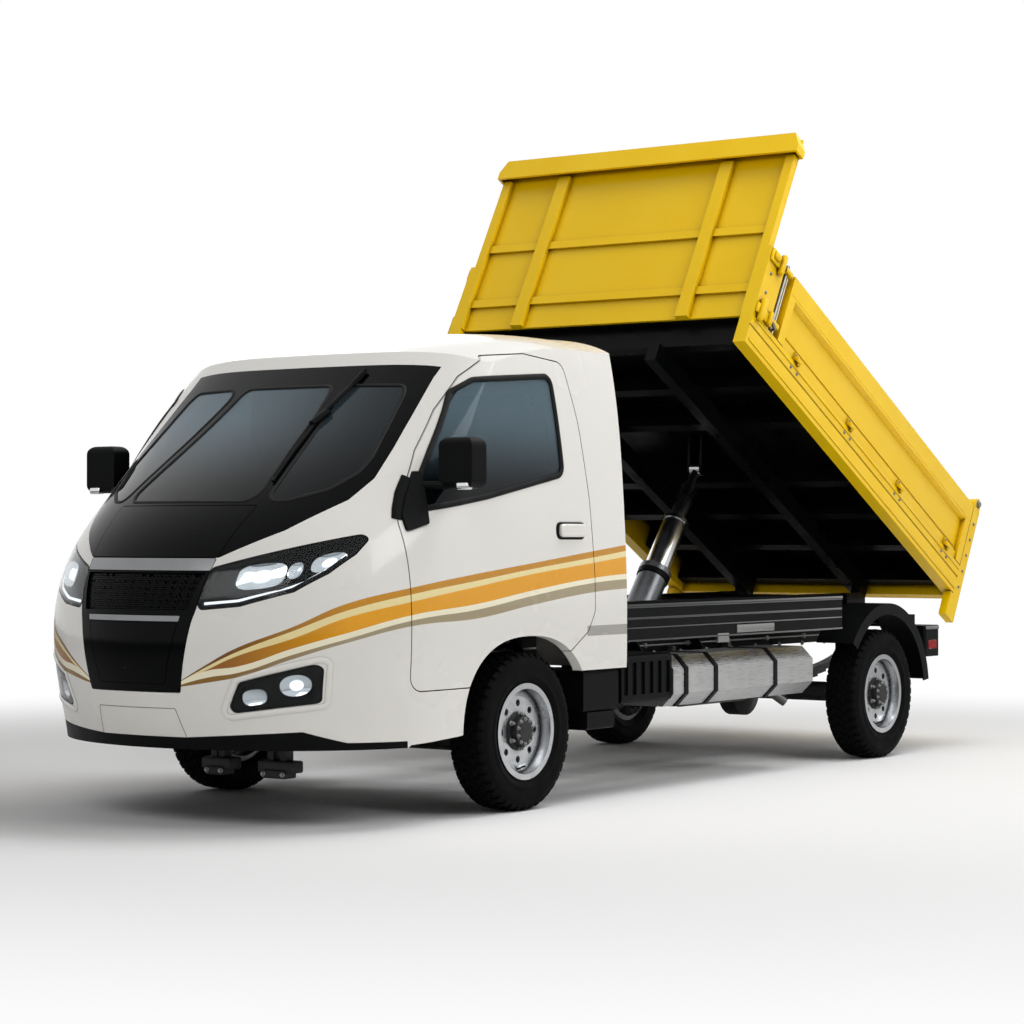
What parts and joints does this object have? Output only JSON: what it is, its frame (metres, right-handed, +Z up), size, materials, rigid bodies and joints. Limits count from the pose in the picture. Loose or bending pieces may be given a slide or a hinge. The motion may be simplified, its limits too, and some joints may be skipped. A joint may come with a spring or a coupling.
{
  "type": "dump truck",
  "caption": "Light forward-control dump truck: moulded cab with two doors, ladder frame, sprung axles, tipping bed with drop sides, top-hung tailgate and telescopic cylinder.",
  "frame": {"origin": "middle of the truck's length and width, on the ground", "axes": "+Z up, -Y the way the truck drives, +X towards the truck's left side"},
  "size_m": [2.17, 5.9521, 3.2164],
  "materials": {
    "white_paint": "pearl white car paint",
    "black_gloss": "gloss black paint",
    "yellow_paint": "yellow enamel",
    "black_frame": "satin black chassis paint",
    "black_plastic": "moulded black plastic",
    "cabin_plastic": "grained dark trim",
    "seat_fabric": "woven seat cloth",
    "window_glass": "tinted window glass",
    "lens_glass": "clear lamp lens",
    "red_lens": "red lamp lens",
    "silver_trim": "bright trim",
    "tank_aluminium": "brushed aluminium",
    "wheel_steel": "silver wheel paint",
    "tyre_rubber": "black tyre rubber",
    "cast_metal": "dark cast iron",
    "spring_steel": "black spring steel",
    "exhaust_steel": "aluminised steel",
    "cylinder_paint": "grey cylinder paint",
    "rod_chrome": "polished chrome rod"
  },
  "bodies": {
    "chassis": {"frame": "black_frame", "subframe": "black_frame", "cab_body": "white_paint", "cab_frame": "black_frame", "front_fenders": "white_paint", "hood": "black_gloss", "screen_surround": "black_gloss", "screen_glass": "window_glass", "bumper": "white_paint", "bumper_lip": "black_plastic", "grille_surround": "black_gloss", "grille": "black_plastic", "nose_strip": "silver_trim", "lamp_housings": "black_plastic", "lamp_lenses": "lens_glass", "dashboard": "cabin_plastic", "seats": "seat_fabric", "engine": "cast_metal", "exhaust": "exhaust_steel", "side_tank": "tank_aluminium", "side_boxes": "black_plastic", "side_brackets": "black_frame", "side_skirts": "black_plastic", "mudguards": "black_plastic", "tail_lamps": "black_plastic", "tail_lenses": "red_lens", "front_axle": "cast_metal", "rear_axle": "cast_metal", "propeller_shaft": "cast_metal", "leaf_springs": "spring_steel"},
    "knuckle_left": {"knuckle_left": "cast_metal"},
    "knuckle_right": {"knuckle_right": "cast_metal"},
    "tie_rod": {"tie_rod": "cast_metal"},
    "wheel_front_left": {"tyre_front_left": "tyre_rubber", "rim_front_left": "wheel_steel"},
    "wheel_front_right": {"tyre_front_right": "tyre_rubber", "rim_front_right": "wheel_steel"},
    "wheel_rear_left": {"tyre_rear_left": "tyre_rubber", "rim_rear_left": "wheel_steel"},
    "wheel_rear_right": {"tyre_rear_right": "tyre_rubber", "rim_rear_right": "wheel_steel"},
    "door_left": {"door_left": "white_paint", "door_glass_left": "window_glass", "mirror_left": "black_plastic"},
    "door_right": {"door_right": "white_paint", "door_glass_right": "window_glass", "mirror_right": "black_plastic"},
    "bed": {"bed_floor": "black_frame", "bed_rails": "yellow_paint", "headboard": "yellow_paint", "rear_posts": "yellow_paint"},
    "side_gate_left": {"side_gate_left": "yellow_paint"},
    "side_gate_right": {"side_gate_right": "yellow_paint"},
    "tailgate": {"tailgate": "yellow_paint"},
    "cylinder_barrel": {"cylinder_barrel": "cylinder_paint"},
    "cylinder_stage": {"cylinder_stage": "rod_chrome"},
    "cylinder_rod": {"cylinder_rod": "rod_chrome"}
  },
  "joints": [
    {"name": "steer_left", "type": "hinge", "parent": "chassis", "child": "knuckle_left", "pos_m": [0.71, -1.44758, 0.342], "axis": [0, 0, 1], "range_deg": [-30, 30]},
    {"name": "steer_right", "type": "hinge", "parent": "chassis", "child": "knuckle_right", "pos_m": [-0.71, -1.44758, 0.342], "axis": [0, 0, 1], "range_deg": [-30, 30]},
    {"name": "tie_rod_pin", "type": "hinge", "parent": "knuckle_left", "child": "tie_rod", "pos_m": [0.71, -1.32758, 0.258], "axis": [0, 0, 1], "range_deg": [-31, 31]},
    {"name": "spin_front_left", "type": "hinge", "parent": "knuckle_left", "child": "wheel_front_left", "pos_m": [0.805, -1.44758, 0.342], "axis": [1, 0, 0], "continuous": true},
    {"name": "spin_front_right", "type": "hinge", "parent": "knuckle_right", "child": "wheel_front_right", "pos_m": [-0.805, -1.44758, 0.342], "axis": [1, 0, 0], "continuous": true},
    {"name": "spin_rear_left", "type": "hinge", "parent": "chassis", "child": "wheel_rear_left", "pos_m": [0.805, 1.85242, 0.342], "axis": [1, 0, 0], "continuous": true},
    {"name": "spin_rear_right", "type": "hinge", "parent": "chassis", "child": "wheel_rear_right", "pos_m": [-0.805, 1.85242, 0.342], "axis": [1, 0, 0], "continuous": true},
    {"name": "door_hinge_left", "type": "hinge", "parent": "chassis", "child": "door_left", "pos_m": [0.9, -2.23784, 0.57], "axis": [0, 0, -1], "range_deg": [0, 65]},
    {"name": "door_hinge_right", "type": "hinge", "parent": "chassis", "child": "door_right", "pos_m": [-0.9, -2.23784, 0.57], "axis": [0, 0, 1], "range_deg": [0, 65]},
    {"name": "bed_tip", "type": "hinge", "parent": "chassis", "child": "bed", "pos_m": [0, 2.50242, 0.815], "axis": [-1, 0, 0], "range_deg": [-29, 16]},
    {"name": "gate_hinge_left", "type": "hinge", "parent": "bed", "child": "side_gate_left", "pos_m": [0.94, 1.76597, 1.54908], "axis": [0, 0.8746, -0.4848], "range_deg": [0, 180]},
    {"name": "gate_hinge_right", "type": "hinge", "parent": "bed", "child": "side_gate_right", "pos_m": [-0.94, 1.76597, 1.54908], "axis": [0, -0.8746, 0.4848], "range_deg": [0, 180]},
    {"name": "tailgate_hinge", "type": "hinge", "parent": "bed", "child": "tailgate", "pos_m": [0, 2.94359, 1.35822], "axis": [1, 0, 0], "range_deg": [0, 75]},
    {"name": "barrel_pivot", "type": "hinge", "parent": "chassis", "child": "cylinder_barrel", "pos_m": [0, 0.65242, 0.56], "axis": [1, 0, 0], "range_deg": [-7, 4]},
    {"name": "stage_slide", "type": "slide", "parent": "cylinder_barrel", "child": "cylinder_stage", "axis": [0, 0.6152, 0.7884], "range_m": [-0.306, 0.17]},
    {"name": "rod_slide", "type": "slide", "parent": "cylinder_stage", "child": "cylinder_rod", "axis": [0, 0.6152, 0.7884], "range_m": [-0.306, 0.17]}
  ],
  "couplings": [
    {"joint": "steer_right", "follows": "steer_left", "ratio": 1},
    {"joint": "tie_rod_pin", "follows": "steer_left", "ratio": -1},
    {"joint": "barrel_pivot", "follows": "bed_tip", "ratio": 0.235},
    {"joint": "stage_slide", "follows": "bed_tip", "m_per_rad": 0.60161},
    {"joint": "rod_slide", "follows": "bed_tip", "m_per_rad": 0.60161}
  ]
}
